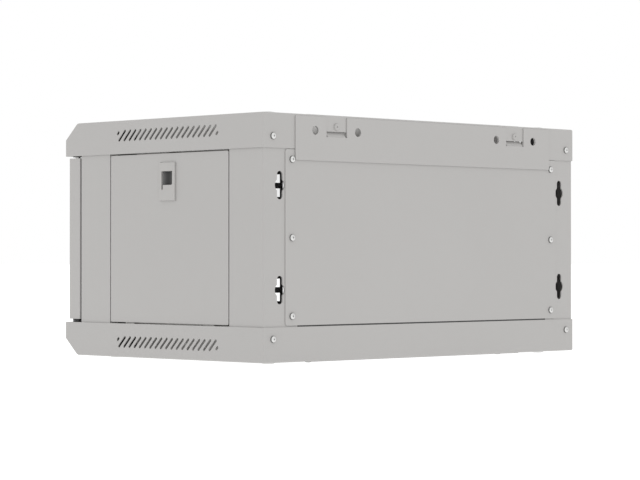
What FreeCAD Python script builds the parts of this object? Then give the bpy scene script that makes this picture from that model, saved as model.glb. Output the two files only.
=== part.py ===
import FreeCAD, Part
import math
import os

# Wall mount network cabinet, four rack units high.
# Millimetres. X to the right seen from the front, +Y towards the wall, +Z up.
# The origin lies under the middle of the cabinet, level with the lowest screw heads.

V = FreeCAD.Vector
X_AXIS = V(1, 0, 0)
Y_AXIS = V(0, 1, 0)
Z_AXIS = V(0, 0, 1)

# ---- 19 inch equipment --------------------------------------------------------
UNITS = 4
UNIT = 44.45
HOLE_STEPS = (6.35, 22.225, 38.1)   # hole centres above the foot of each unit
RACK_HOLE_SPACING = 465.1           # between the two columns of square holes
RAIL_HOLE_X = RACK_HOLE_SPACING / 2
RAIL_WIDTH = 30.0
RAIL_INNER_EDGE = 7.55              # rail's inner edge to the middle of its holes
RAIL_FACE_IN = RAIL_HOLE_X - RAIL_INNER_EDGE
RAIL_FACE_OUT = RAIL_FACE_IN + RAIL_WIDTH

# ---- overall case -------------------------------------------------------------
DEPTH = 350.0               # front of the covers to their rear flanges
HEIGHT = 280.0              # over the floor and roof sheets
COVER_SHEET = 1.2
FRAME_SHEET = 1.5
PANEL_SHEET = 1.0
COVER_FIT = 0.3             # side frame inside the cover's skirt
SLIP = 0.3                  # air between pieces that slide past each other
RUNNING = 0.05              # radial clearance of a pin in its bush
FRAME_RETURN = 12.0         # depth of the side frames' inward returns
RAIL_CLEAR = 1.5            # between a rail and those returns

# ---- fasteners ----------------------------------------------------------------
SCREW_HEAD_R = 4.0
SCREW_HEAD_H = 2.4
SCREW_R = 2.4
SCREW_LENGTH = 8.0
SCREW_HOLE_R = 2.6
ENTRY_HEAD_H = 2.0
ENTRY_SHEET = 1.2

# ---- datum planes -------------------------------------------------------------
REAR = (DEPTH - SCREW_HEAD_H) / 2       # outer face of the rear flanges
FRONT = REAR - DEPTH
BOTTOM = ENTRY_SHEET + ENTRY_HEAD_H     # outer face of the floor
TOP = BOTTOM + HEIGHT
MID_Z = (BOTTOM + TOP) / 2
FRAME_X = RAIL_FACE_OUT + RAIL_CLEAR + FRAME_RETURN     # outer face of the side frames
SIDE = FRAME_X + COVER_FIT + COVER_SHEET                # outer face of the skirts
FLOOR = BOTTOM + COVER_SHEET            # inner face of the floor
ROOF = TOP - COVER_SHEET                # inner face of the roof

# ---- covers -------------------------------------------------------------------
SKIRT = 39.7                # height of the skirts and rear flanges
BEND_R = 2.2                # outside radius of the cover's bends
NOSE_RUN = 22.5             # sloping nose, measured back from the front
NOSE_DROP = 20.0
SHELF_DEPTH = 26.0          # return under the nose that carries the hinge bushes
SHELF_LIP = 8.0
VENT_PITCH = 9.42
VENT_WIDTH = 3.2
VENT_LENGTH = 18.4
SHORT_VENT_LENGTH = 5.6
SHORT_VENT_STEP = 7.2       # from the last long vent, along Y
SHORT_VENT_RISE = 3.1       # and up or down
VENT_END_MARGIN = 25.0      # least run from the panel opening's ends to the row's ends
VENT_SHIFT = 1.3            # middle of a row before the middle of the panel's opening
VENT_FROM_EDGE = 18.0       # row's middle to the roof's or floor's outer face
ENTRY_OPENING_X = 150.0     # half width of the cable entry
ENTRY_OPENING_Y = 60.0
ENTRY_FROM_REAR = 24.4
ENTRY_PLATE_X = ENTRY_OPENING_X + 32.0      # half width of the plate over it
ENTRY_PLATE_MARGIN = 10.0
ENTRY_SCREW_X = ENTRY_PLATE_X - 16.6
ENTRY_SCREW_INSET = 21.6

# ---- side frames and panels -----------------------------------------------------
FRAME_SETBACK = 27.0        # side frames behind the front of the covers
FRAME_FRONT = FRONT + FRAME_SETBACK
FRAME_REAR = REAR - COVER_SHEET
FRONT_FLANGE_IN = SIDE - 24.0       # inner edge of the front flange
REAR_FLANGE_IN = SIDE - 54.0
FRAME_BEND = 2.0
FRONT_POST = 55.1           # frame before the panel's opening
REAR_POST = 57.3            # case behind the panel's opening
PANEL_GAP = 1.7             # air round the panel
PANEL_RETURN = 9.5
PANEL_CORNER = 2.0
LEDGE_LENGTH = 16.0         # raised ledges that the side panel stands on
LEDGE_APART = 140.0
VENT_WINDOW_MARGIN = 3.0

# ---- rear ----------------------------------------------------------------------
BACK_PANEL_X = SIDE - 34.5
BACK_PANEL_CORNER = 3.0
BACK_SCREW_X = BACK_PANEL_X - 10.2
BACK_SCREW_RISE = HEIGHT / 2 - SKIRT - 12.1
COVER_SCREW_X = SIDE - 15.0
COVER_SCREW_INSET = 26.5
KEYHOLE_X = SIDE - 26.5
KEYHOLE_SPACING = 117.475
KEYHOLE_HEAD_R = 7.5
KEYHOLE_SLOT_R = 4.25
KEYHOLE_LENGTH = 32.0
TOP_PLATE_SHEET = 1.3
TOP_PLATE_X = SIDE - 49.0
TOP_PLATE_LOW = 52.4        # lower edge, below the roof's outer face
TOP_PLATE_HIGH = 2.0
TIE_HOLE_R = 5.0
TIE_HOLE_XS = (SIDE - 149.0, SIDE - 80.0)
TIE_HOLE_DROP = 18.0
WINDOW_X = SIDE - 114.5
WINDOW_WIDTH = 33.0
WINDOW_LOW = 25.0
TONGUE_WIDTH = 29.0
TONGUE_LENGTH = 7.6
TONGUE_ANGLE = 35.0         # leaning inwards from the plate
FLANGE_SLOT_HEIGHT = 6.6
FLANGE_SLOT_DROP = 1.0      # slot's lower edge below the fold of the tongue
FLANGE_SCREW_DROP = 13.0

# ---- 19 inch rails --------------------------------------------------------------
RAIL_SQUARE = 9.5
RAIL_SHEET = 2.0
RAIL_FOOT = 41.0            # depth of the side flange and of the bolted feet
RAIL_TRAVEL = 60.0
FRONT_RAIL_FACE = FRONT + 80.0      # rear side of the punched face
REAR_RAIL_FACE = REAR - 15.5
RAIL_BOLT_X = RAIL_HOLE_X + 1.85
FRONT_BOLT_STEP = 27.0      # bolt before the rear side of the face
REAR_BOLT_STEP = 14.0
RAIL_BOLT_R = 4.0
RAIL_BOLT_HEAD_R = 8.0
RAIL_BOLT_HEAD_H = 2.5
RAIL_NUT_AF = 13.0
RAIL_NUT_H = 6.5

# ---- door -----------------------------------------------------------------------
DOOR_FRONT = FRONT + 4.2
DOOR_TO_FRAME = 2.0
DOOR_REAR = FRAME_FRONT - DOOR_TO_FRAME
DOOR_BOTTOM = BOTTOM + SKIRT + 3.9
DOOR_TOP = TOP - SKIRT - 2.5
DOOR_SHEET = 1.2
DOOR_BEND = 2.0
STILE = 53.0
DOOR_RAIL = 8.0
DOOR_LIP = 10.0
WINDOW_CORNER = 4.0
GLASS_THICK = 4.0
GLASS_LAP = 6.0
SEAL_THICK = 1.5
SEAL_WIDTH = 5.0
CLIP_WIDTH = 16.0
CLIP_SHEET = 1.2
CLIP_LAP = 5.0
CLIP_FOOT = 7.5
CLIP_INSET = 30.0           # clip's middle inside the upper and lower edges of the glass
STUD_R = 1.5
HINGE_X = SIDE - 7.5
HINGE_Y = FRONT + 14.0
PIN_R = 3.0
BUSH_R = 4.5
BUSH_FLANGE_R = 6.0
BUSH_FLANGE = 1.0
BUSH_LENGTH = 5.5
BRACKET_SHEET = 1.5
BRACKET_HEIGHT = 26.0
BRACKET_EAR = 9.5
BRACKET_INSET = 7.0
BRACKET_WINDOW = 10.0       # clear width for the spring between the ears
PIN_TRAVEL = 7.0
COLLAR_R = 4.4
COLLAR_H = 1.5
SPRING_WIRE_R = 0.35
SPRING_R = 3.6
SPRING_TURNS = 5
PIN_ARM = 14.0
LOCK_X = 36.0 - SIDE
LOCK_BODY_R = 8.0
LOCK_FLANGE_R = 10.0
LOCK_FLANGE = 1.8
LOCK_PLUG_R = 5.5
LOCK_NUT_AF = 19.0
LOCK_NUT_H = 4.0
CAM_WIDTH = 12.0
CAM_REACH = 26.0
CAM_SHEET = 2.5
CAM_GAP = 0.6               # cam behind the frame's front flange
KEYWAY = (1.6, 6.4, 10.0)    # width, height and depth
BUFFER_R = 5.0
BUFFER_INSET = 17.0         # buffer's middle inside the door's upper and lower edges

# ---- side panel latch -------------------------------------------------------------
LATCH_WIDTH = 27.4
LATCH_HEIGHT = 44.4
LATCH_PROUD = 2.2
LATCH_DROP = 34.4           # middle of the latch below the panel's opening
LATCH_BODY_WIDTH = 24.0
LATCH_BODY_HEIGHT = 40.0
LATCH_BODY_DEPTH = 11.6
LATCH_WALL = 1.5
FINGER_WIDTH = 19.0         # window in the latch's face
FINGER_HEIGHT = 16.0
FINGER_RISE = 4.0           # middle of the window above the middle of the latch
FINGER_CORNER = 2.0
LEG_WIDTH = 2.6             # narrow slot that runs down from the window
LEG_LENGTH = 5.2
SLIDER_HEIGHT = 23.0
SLIDER_LAP = 0.5            # slider's top above the window, bolt drawn
SLIDER_RIM = 1.0            # groove closed above and below
BOLT_WIDTH = 14.0
BOLT_THICK = 2.4
BOLT_CORNER = 1.5

# ---- earth stud -------------------------------------------------------------------
EARTH_X = RAIL_HOLE_X + 7.45
EARTH_R = 3.0
EARTH_HEIGHT = 18.0
EARTH_NUT_AF = 10.0
EARTH_NUT_H = 5.0


def box(x_low, x_high, y_low, y_high, z_low, z_high):
    return Part.makeBox(x_high - x_low, y_high - y_low, z_high - z_low, V(x_low, y_low, z_low))


def rod(radius, length, start, direction):
    return Part.makeCylinder(radius, length, start, direction)


def prism(corners, along):
    """Straight-sided solid: a closed polygon swept along a vector."""
    return Part.Face(Part.makePolygon(corners + corners[:1])).extrude(along)


def mirror_x(shape):
    return shape.mirror(V(0, 0, 0), X_AXIS)


def mirror_z(shape):
    return shape.mirror(V(0, 0, MID_Z), Z_AXIS)


def near(a, b):
    return abs(a - b) < 1e-4


def round_corners_y(plate, radius):
    """Round the four corners of a flat plate that faces along Y."""
    edges = [e for e in plate.Edges
             if abs(e.Vertexes[0].Y - e.Vertexes[-1].Y) > 1e-4]
    return plate.makeFillet(radius, edges)


def pan_screw(at, outwards, head_h=SCREW_HEAD_H):
    """Pan head screw with its head on the plane through `at`, pointing outwards."""
    head = rod(SCREW_HEAD_R, head_h, at, outwards)
    rim = [e for e in head.Edges
           if near((e.CenterOfMass - at).dot(outwards), head_h)]
    head = head.makeFillet(head_h * 0.45, rim)
    shank = rod(SCREW_R, SCREW_LENGTH, at, outwards * -1)
    return head.fuse(shank).removeSplitter()


def hex_prism(across_flats, height, base):
    """Hexagonal nut blank standing on `base` along Z."""
    radius = across_flats / math.sqrt(3)
    corners = [base + V(radius * math.cos(math.radians(60 * k)),
                        radius * math.sin(math.radians(60 * k)), 0) for k in range(6)]
    return prism(corners, V(0, 0, height))


# ---- covers ---------------------------------------------------------------------

def cover_block(inset):
    """The roof cover's outline as a solid block, drawn `inset` inside its faces."""
    slope = NOSE_DROP / NOSE_RUN
    fall = inset * math.hypot(NOSE_RUN, NOSE_DROP) / NOSE_RUN
    front = FRONT + inset
    top = TOP - inset
    nose_low = TOP - NOSE_DROP + inset * slope - fall
    nose_back = FRONT + (top - (TOP - NOSE_DROP) + fall) / slope
    foot = TOP - SKIRT
    half = SIDE - inset
    rear = REAR - inset
    outline = [V(-half, front, foot), V(-half, front, nose_low), V(-half, nose_back, top),
               V(-half, rear, top), V(-half, rear, foot)]
    block = prism(outline, V(2 * half, 0, 0))

    def is_bend(edge):
        """True for the roof's bends along the sides and rear and the two rear corners."""
        middle = edge.CenterOfMass
        on_roof = near(middle.z, top)
        on_side = near(abs(middle.x), half)
        on_rear = near(middle.y, rear)
        return on_roof and (on_side or on_rear) or on_side and on_rear
    sharp = [edge for edge in block.Edges if is_bend(edge)]
    return block.makeFillet(BEND_R - inset, sharp)


def slanted_slot(y, z, length, width, half_x):
    """Cutter for one vent: a slot leaning rearwards at 45 degrees, right through both sides."""
    reach = (length - width) / 2
    cap_r = width / 2
    slot = box(-half_x, half_x, -reach, reach, -cap_r, cap_r)
    for end in (-reach, reach):
        slot = slot.fuse(rod(cap_r, 2 * half_x, V(-half_x, end, 0), X_AXIS))
    slot = slot.removeSplitter()
    slot.rotate(V(0, 0, 0), X_AXIS, 45)
    slot.translate(V(0, y, z))
    return slot


def vent_row():
    """Middle of a row of vents, number of long vents and half the run of their middles."""
    front, rear = panel_window()[:2]
    count = int((rear - front - 2 * VENT_END_MARGIN) / VENT_PITCH) + 1
    return (front + rear) / 2 - VENT_SHIFT, count, (count - 1) * VENT_PITCH / 2


def vent_cutters(row_z):
    """A row of long vents with a short one at each end."""
    half_x = SIDE + 1
    middle, count, row_half = vent_row()
    cutters = [slanted_slot(middle - row_half + k * VENT_PITCH, row_z,
                            VENT_LENGTH, VENT_WIDTH, half_x) for k in range(count)]
    for end in (-1, 1):
        cutters.append(slanted_slot(middle + end * (row_half + SHORT_VENT_STEP),
                                    row_z - end * SHORT_VENT_RISE,
                                    SHORT_VENT_LENGTH, VENT_WIDTH, half_x))
    return Part.makeCompound(cutters)


def rail_bolt_rest(front):
    """Y of a rail's bolts with the rail at rest."""
    if front:
        return FRONT_RAIL_FACE - FRONT_BOLT_STEP
    return REAR_RAIL_FACE - REAR_BOLT_STEP


def rail_slots(z_low, z_high):
    """Slots in the floor or roof that the rail bolts run in."""
    cutters = []
    radius = RAIL_BOLT_R + SLIP
    for side in (-1, 1):
        x = side * RAIL_BOLT_X
        for front, way in ((True, 1), (False, -1)):
            start = rail_bolt_rest(front)
            ends = sorted((start, start + way * RAIL_TRAVEL))
            slot = box(x - radius, x + radius, ends[0], ends[1], z_low, z_high)
            for end in ends:
                slot = slot.fuse(rod(radius, z_high - z_low, V(x, end, z_low), Z_AXIS))
            cutters.append(slot.removeSplitter())
    return cutters


def entry_plate_y():
    """Front and rear edges of the cable entry's plate."""
    opening_rear = REAR - ENTRY_FROM_REAR
    return opening_rear - ENTRY_OPENING_Y - ENTRY_PLATE_MARGIN, opening_rear + ENTRY_PLATE_MARGIN


def entry_screw_points():
    front, rear = entry_plate_y()
    return [(x, y) for x in (-ENTRY_SCREW_X, ENTRY_SCREW_X)
            for y in (front + ENTRY_SCREW_INSET, rear - ENTRY_SCREW_INSET)]


def plain_cover():
    """Roof cover without vents: skirts, nose, shelf, rear flange and roof holes."""
    shell = cover_block(0).cut(cover_block(COVER_SHEET))
    half = SIDE - COVER_SHEET
    inner_front = FRONT + COVER_SHEET
    shelf_back = FRONT + SHELF_DEPTH
    foot = TOP - SKIRT
    shelf = box(-half, half, inner_front, shelf_back, foot, foot + COVER_SHEET)
    lip = box(-half, half, shelf_back - COVER_SHEET, shelf_back, foot, foot + SHELF_LIP)
    cover = shell.fuse([shelf, lip]).removeSplitter()
    z_low, z_high = ROOF - 1, TOP + 1
    opening_rear = REAR - ENTRY_FROM_REAR
    cutters = rail_slots(z_low, z_high)
    cutters.append(box(-ENTRY_OPENING_X, ENTRY_OPENING_X, opening_rear - ENTRY_OPENING_Y,
                       opening_rear, z_low, z_high))
    cutters += [rod(SCREW_HOLE_R, z_high - z_low, V(x, y, z_low), Z_AXIS)
                for x, y in entry_screw_points()]
    cutters.append(rod(BUSH_R, 2 * SHELF_LIP, V(HINGE_X, HINGE_Y, foot - 1), Z_AXIS))
    cutters += [rod(SCREW_HOLE_R, 4, V(side * COVER_SCREW_X, REAR - 2, TOP - COVER_SCREW_INSET),
                    Y_AXIS) for side in (-1, 1)]
    return cover.cut(Part.makeCompound(cutters))


def rear_plate_cutters():
    """Holes in the roof cover's rear flange behind the rear top plate."""
    y = REAR - COVER_SHEET - 1
    depth = COVER_SHEET + TOP_PLATE_SHEET + 2
    cutters = []
    for side in (-1, 1):
        for x in TIE_HOLE_XS:
            cutters.append(rod(TIE_HOLE_R, depth, V(side * x, y, TOP - TIE_HOLE_DROP), Y_AXIS))
    return cutters


def top_cover():
    cutters = rear_plate_cutters()
    y = REAR - COVER_SHEET - 1
    slot_low = TOP - WINDOW_LOW
    for side in (-1, 1):
        x = side * WINDOW_X
        half = WINDOW_WIDTH / 2
        cutters.append(box(x - half, x + half, y, REAR + 1,
                           slot_low - FLANGE_SLOT_DROP, slot_low + FLANGE_SLOT_HEIGHT))
        cutters.append(rod(SCREW_HOLE_R, COVER_SHEET + 2, V(x, y, TOP - FLANGE_SCREW_DROP), Y_AXIS))
    cover = plain_cover().cut(Part.makeCompound(cutters))
    return cover.cut(vent_cutters(TOP - VENT_FROM_EDGE))


def bottom_cover():
    return mirror_z(plain_cover()).cut(vent_cutters(BOTTOM + VENT_FROM_EDGE))


def rear_top_plate():
    """Stiffening plate over the joint of roof cover and back panel, with two bent-in tongues."""
    plate = box(-TOP_PLATE_X, TOP_PLATE_X, REAR, REAR + TOP_PLATE_SHEET,
                TOP - TOP_PLATE_LOW, TOP - TOP_PLATE_HIGH)
    plate = round_corners_y(plate, TOP_PLATE_HIGH)
    cutters = rear_plate_cutters()
    half = WINDOW_WIDTH / 2
    low = TOP - WINDOW_LOW
    for side in (-1, 1):
        x = side * WINDOW_X
        cutters.append(box(x - half, x + half, REAR - 1, REAR + TOP_PLATE_SHEET + 1,
                           low, TOP))
    plate = plate.cut(Part.makeCompound(cutters))
    for side in (-1, 1):
        x = side * WINDOW_X - TONGUE_WIDTH / 2
        tongue = box(x, x + TONGUE_WIDTH, REAR, REAR + TOP_PLATE_SHEET, low, low + TONGUE_LENGTH)
        tongue.rotate(V(0, REAR + TOP_PLATE_SHEET, low), X_AXIS, TONGUE_ANGLE)
        plate = plate.fuse(tongue)
    return plate.removeSplitter()


def entry_plate():
    """Blanking plate over the roof's cable entry."""
    front, rear = entry_plate_y()
    plate = box(-ENTRY_PLATE_X, ENTRY_PLATE_X, front, rear, TOP, TOP + ENTRY_SHEET)
    corners = [e for e in plate.Edges if abs(e.Vertexes[0].Z - e.Vertexes[-1].Z) > 1e-4]
    plate = plate.makeFillet(BACK_PANEL_CORNER, corners)
    holes = [rod(SCREW_HOLE_R, ENTRY_SHEET + 2, V(x, y, TOP - 1), Z_AXIS)
             for x, y in entry_screw_points()]
    return plate.cut(Part.makeCompound(holes))


def entry_screws():
    return Part.makeCompound([pan_screw(V(x, y, TOP + ENTRY_SHEET), Z_AXIS, ENTRY_HEAD_H)
                              for x, y in entry_screw_points()])


# ---- side frames -----------------------------------------------------------------

def panel_window():
    """Front, rear, low and high edges of the opening in a side frame."""
    return FRAME_FRONT + FRONT_POST, REAR - REAR_POST, BOTTOM + SKIRT, TOP - SKIRT


def keyhole(x, z):
    """Double-ended keyhole: a large hole with a slot above and below it."""
    y = FRAME_REAR - FRAME_SHEET - 1
    depth = FRAME_SHEET + 2
    reach = KEYHOLE_LENGTH / 2 - KEYHOLE_SLOT_R
    cutter = rod(KEYHOLE_HEAD_R, depth, V(x, y, z), Y_AXIS)
    slot = box(x - KEYHOLE_SLOT_R, x + KEYHOLE_SLOT_R, y, y + depth, z - reach, z + reach)
    ends = [rod(KEYHOLE_SLOT_R, depth, V(x, y, z + end), Y_AXIS) for end in (-reach, reach)]
    return cutter.fuse([slot] + ends).removeSplitter()


def right_side_frame():
    """Folded side frame: plate, four outer returns, and a rim round the panel's opening."""
    front, rear, low, high = panel_window()
    inner = FRAME_X - FRAME_RETURN
    t = FRAME_SHEET
    tray = box(inner, FRAME_X, FRAME_FRONT, FRAME_REAR, FLOOR, ROOF)
    bends = [e for e in tray.Edges
             if near(e.CenterOfMass.x, FRAME_X)
             or near(e.CenterOfMass.y, FRAME_REAR) and near(e.Length, FRAME_RETURN)]
    tray = tray.makeFillet(FRAME_BEND, bends)
    tray = tray.cut(box(inner - 1, FRAME_X - t, FRAME_FRONT + t, FRAME_REAR - t,
                        FLOOR + t, ROOF - t))
    front_flange = box(FRONT_FLANGE_IN, inner + 1, FRAME_FRONT, FRAME_FRONT + t, FLOOR, ROOF)
    rear_flange = box(REAR_FLANGE_IN, inner + 1, FRAME_REAR - t, FRAME_REAR,
                      FLOOR + FRAME_BEND, ROOF - FRAME_BEND)
    rim = box(inner, FRAME_X - t, front - t, rear + t, low - t, high + t)
    frame = tray.fuse([front_flange, rear_flange, rim]).removeSplitter()
    frame = frame.cut(box(inner - 1, FRAME_X + 1, front, rear, low, high))
    frame = frame.fuse(panel_ledges()).removeSplitter()
    cutters = []
    middle, count, row_half = vent_row()
    window_half = row_half + VENT_LENGTH / 2 + VENT_WINDOW_MARGIN
    for row_z in (BOTTOM + VENT_FROM_EDGE, TOP - VENT_FROM_EDGE):
        half_z = VENT_LENGTH / 2 * math.cos(math.radians(45)) + VENT_WINDOW_MARGIN
        cutters.append(box(FRAME_X - t - 1, FRAME_X + 1, middle - window_half,
                           middle + window_half, row_z - half_z, row_z + half_z))
    for rise in (-KEYHOLE_SPACING / 2, KEYHOLE_SPACING / 2):
        cutters.append(keyhole(KEYHOLE_X, MID_Z + rise))
    y = FRAME_REAR - t - 1
    for z in (BOTTOM + COVER_SCREW_INSET, TOP - COVER_SCREW_INSET):
        cutters.append(rod(SCREW_HOLE_R, t + 2, V(COVER_SCREW_X, y, z), Y_AXIS))
    for rise in (-BACK_SCREW_RISE, 0, BACK_SCREW_RISE):
        cutters.append(rod(SCREW_HOLE_R, t + 2, V(BACK_SCREW_X, y, MID_Z + rise), Y_AXIS))
    y = latch_centre()[0]
    half = BOLT_WIDTH / 2 + 1
    cutters.append(box(inner - 1, bolt_span()[1] + 1, y - half, y + half, high - 1, high + t + 1))
    return frame.cut(Part.makeCompound(cutters))


def panel_ledges():
    """Two raised ledges on the rim under the side panel."""
    front, rear, low, high = panel_window()
    middle = (front + rear) / 2
    x_low, x_high = FRAME_X - PANEL_RETURN, FRAME_X - FRAME_SHEET
    return [box(x_low, x_high, y - LEDGE_LENGTH / 2, y + LEDGE_LENGTH / 2,
                low - FRAME_SHEET, low + PANEL_GAP - SLIP)
            for y in (middle - LEDGE_APART / 2, middle + LEDGE_APART / 2)]


def back_panel():
    low = BOTTOM + SKIRT + PANEL_GAP
    high = TOP - SKIRT - PANEL_GAP / 2
    panel = box(-BACK_PANEL_X, BACK_PANEL_X, FRAME_REAR, FRAME_REAR + PANEL_SHEET, low, high)
    panel = round_corners_y(panel, BACK_PANEL_CORNER)
    holes = [rod(SCREW_HOLE_R, PANEL_SHEET + 2, V(x, FRAME_REAR - 1, z), Y_AXIS)
             for x, z in back_screw_points()]
    return panel.cut(Part.makeCompound(holes))


def back_screw_points():
    return [(x, MID_Z + rise) for x in (-BACK_SCREW_X, BACK_SCREW_X)
            for rise in (-BACK_SCREW_RISE, 0, BACK_SCREW_RISE)]


def back_panel_screws():
    screws = [pan_screw(V(x, FRAME_REAR + PANEL_SHEET, z), Y_AXIS) for x, z in back_screw_points()]
    return Part.makeCompound(screws)


def cover_screws():
    points = [(x, z) for x in (-COVER_SCREW_X, COVER_SCREW_X)
              for z in (BOTTOM + COVER_SCREW_INSET, TOP - COVER_SCREW_INSET)]
    return Part.makeCompound([pan_screw(V(x, REAR, z), Y_AXIS) for x, z in points])


def top_plate_screws():
    return Part.makeCompound([pan_screw(V(x, REAR, TOP - FLANGE_SCREW_DROP), Y_AXIS)
                              for x in (-WINDOW_X, WINDOW_X)])


# ---- side panel and its latch ------------------------------------------------------

def latch_centre():
    """Y and Z of the latch's middle."""
    front, rear, low, high = panel_window()
    return (front + rear) / 2, high - LATCH_DROP


def bolt_span():
    """X of the inner and outer face of the latch's bolt."""
    low = FRAME_X - LATCH_BODY_DEPTH + LATCH_WALL + SLIP
    return low, low + BOLT_THICK


def panel_edges():
    """Front, rear, low and high edges of the side panel."""
    front, rear, low, high = panel_window()
    return front + PANEL_GAP, rear - PANEL_GAP, low + PANEL_GAP, high - PANEL_GAP


def right_side_panel():
    """Lift-off panel: a shallow tray with the latch's hole and the slider's slot."""
    front, rear, low, high = panel_edges()
    t = PANEL_SHEET
    tray = box(FRAME_X - PANEL_RETURN, FRAME_X, front, rear, low, high)
    tray = tray.cut(box(FRAME_X - PANEL_RETURN - 1, FRAME_X - t, front + t, rear - t,
                        low + t, high - t))
    corners = [e for e in tray.Edges
               if e.Length > PANEL_RETURN - 0.1 and near(e.Length, PANEL_RETURN)]
    tray = tray.makeFillet(PANEL_CORNER, corners)
    y, z = latch_centre()
    half_y, half_z = LATCH_BODY_WIDTH / 2, LATCH_BODY_HEIGHT / 2
    hole = box(FRAME_X - t - 1, FRAME_X + 1, y - half_y, y + half_y, z - half_z, z + half_z)
    half = BOLT_WIDTH / 2 + SLIP
    notch = box(FRAME_X - PANEL_RETURN - 1, bolt_span()[1] + SLIP, y - half, y + half,
                high - t - 1, high + 1)
    return tray.cut(hole).cut(notch)


def finger_window():
    """Front, rear, low and high edges of the window in the latch's face."""
    y, z = latch_centre()
    middle = z + FINGER_RISE
    return (y - FINGER_WIDTH / 2, y + FINGER_WIDTH / 2,
            middle - FINGER_HEIGHT / 2, middle + FINGER_HEIGHT / 2)


def right_latch_plate():
    """Latch housing: proud face with the finger window and a narrow leg slot, hollow body."""
    y, z = latch_centre()
    face = box(FRAME_X, FRAME_X + LATCH_PROUD, y - LATCH_WIDTH / 2, y + LATCH_WIDTH / 2,
               z - LATCH_HEIGHT / 2, z + LATCH_HEIGHT / 2)
    rim = [e for e in face.Edges if near(e.CenterOfMass.x, FRAME_X + LATCH_PROUD)]
    face = face.makeFillet(0.8, rim)
    half_y, half_z = LATCH_BODY_WIDTH / 2, LATCH_BODY_HEIGHT / 2
    body = box(FRAME_X - LATCH_BODY_DEPTH, FRAME_X, y - half_y, y + half_y, z - half_z, z + half_z)
    housing = face.fuse(body).removeSplitter()
    hollow_low = FRAME_X - LATCH_BODY_DEPTH + LATCH_WALL
    hollow = box(hollow_low, FRAME_X, y - half_y + LATCH_WALL, y + half_y - LATCH_WALL,
                 z - half_z + LATCH_WALL, z + half_z - LATCH_WALL)
    half = BOLT_WIDTH / 2 + SLIP
    bolt_way = box(hollow_low, bolt_span()[1] + SLIP, y - half, y + half, z, z + half_z + 1)
    front, rear, low, high = finger_window()
    window = box(FRAME_X - 1, FRAME_X + LATCH_PROUD + 1, front, rear, low, high)
    lower_corners = [e for e in window.Edges
                     if near(e.Length, LATCH_PROUD + 2) and near(e.CenterOfMass.z, low)]
    window = window.makeFillet(FINGER_CORNER, lower_corners)
    leg = box(FRAME_X - 1, FRAME_X + LATCH_PROUD + 1, front, front + LEG_WIDTH,
              low - LEG_LENGTH, low + FINGER_CORNER)
    return housing.cut(Part.makeCompound([hollow, bolt_way])).cut(window.fuse(leg))


def right_latch_slider():
    """Grooved finger slide that fills the window, with the bolt that it pushes up."""
    y, z = latch_centre()
    x_low, x_high = bolt_span()
    half = LATCH_BODY_WIDTH / 2 - LATCH_WALL - SLIP
    top = finger_window()[3] + SLIDER_LAP
    low = top - SLIDER_HEIGHT
    block = box(x_low, FRAME_X - SLIP, y - half, y + half, low, top)
    groove = rod(FINGER_WIDTH / 2, SLIDER_HEIGHT - 2 * SLIDER_RIM,
                 V(FRAME_X + LATCH_PROUD, y, low + SLIDER_RIM), Z_AXIS)
    block = block.cut(groove)
    high = panel_edges()[3]
    bolt = box(x_low, x_high, y - BOLT_WIDTH / 2, y + BOLT_WIDTH / 2, top - 1, high)
    tips = [e for e in bolt.Edges if near(e.CenterOfMass.z, high) and near(e.Length, BOLT_THICK)]
    return block.fuse(bolt.makeFillet(BOLT_CORNER, tips)).removeSplitter()


# ---- rails -------------------------------------------------------------------------

def right_rail(front):
    """Punched rail: slotted face, side flange and a foot at each end for its bolts."""
    face_y = FRONT_RAIL_FACE if front else REAR_RAIL_FACE
    low, high = FLOOR + SLIP, ROOF - SLIP
    t = RAIL_SHEET
    face = box(RAIL_FACE_IN, RAIL_FACE_OUT, face_y - t, face_y, low, high)
    flange = box(RAIL_FACE_OUT - t, RAIL_FACE_OUT, face_y - RAIL_FOOT, face_y, low, high)
    feet = [box(RAIL_FACE_IN, RAIL_FACE_OUT, face_y - RAIL_FOOT, face_y, z, z + t)
            for z in (low, high - t)]
    rail = face.fuse([flange] + feet).removeSplitter()
    half = RAIL_SQUARE / 2
    first = MID_Z - UNITS * UNIT / 2
    cutters = []
    for unit in range(UNITS):
        for step in HOLE_STEPS:
            z = first + unit * UNIT + step
            cutters.append(box(RAIL_HOLE_X - half, RAIL_HOLE_X + half, face_y - t - 1, face_y + 1,
                               z - half, z + half))
    bolt_y = rail_bolt_rest(front)
    cutters.append(rod(RAIL_BOLT_R + SLIP, HEIGHT, V(RAIL_BOLT_X, bolt_y, BOTTOM), Z_AXIS))
    return rail.cut(Part.makeCompound(cutters))


def rail_bolt(y):
    """Domed bolt through the roof with its nut under the rail's foot."""
    at = V(RAIL_BOLT_X, y, TOP + SLIP)
    head = rod(RAIL_BOLT_HEAD_R, RAIL_BOLT_HEAD_H, at, Z_AXIS)
    rim = [e for e in head.Edges if near(e.CenterOfMass.z, at.z + RAIL_BOLT_HEAD_H)]
    head = head.makeFillet(RAIL_BOLT_HEAD_H * 0.6, rim)
    foot = ROOF - SLIP - RAIL_SHEET
    shank_low = foot - RAIL_NUT_H - 2
    shank = rod(RAIL_BOLT_R, at.z - shank_low, V(RAIL_BOLT_X, y, shank_low), Z_AXIS)
    nut = hex_prism(RAIL_NUT_AF, RAIL_NUT_H, V(RAIL_BOLT_X, y, foot - RAIL_NUT_H))
    return head.fuse([shank, nut]).removeSplitter()


def right_rail_bolts(front):
    top_bolt = rail_bolt(rail_bolt_rest(front))
    return Part.makeCompound([top_bolt, mirror_z(top_bolt)])


# ---- door ----------------------------------------------------------------------------

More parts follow.
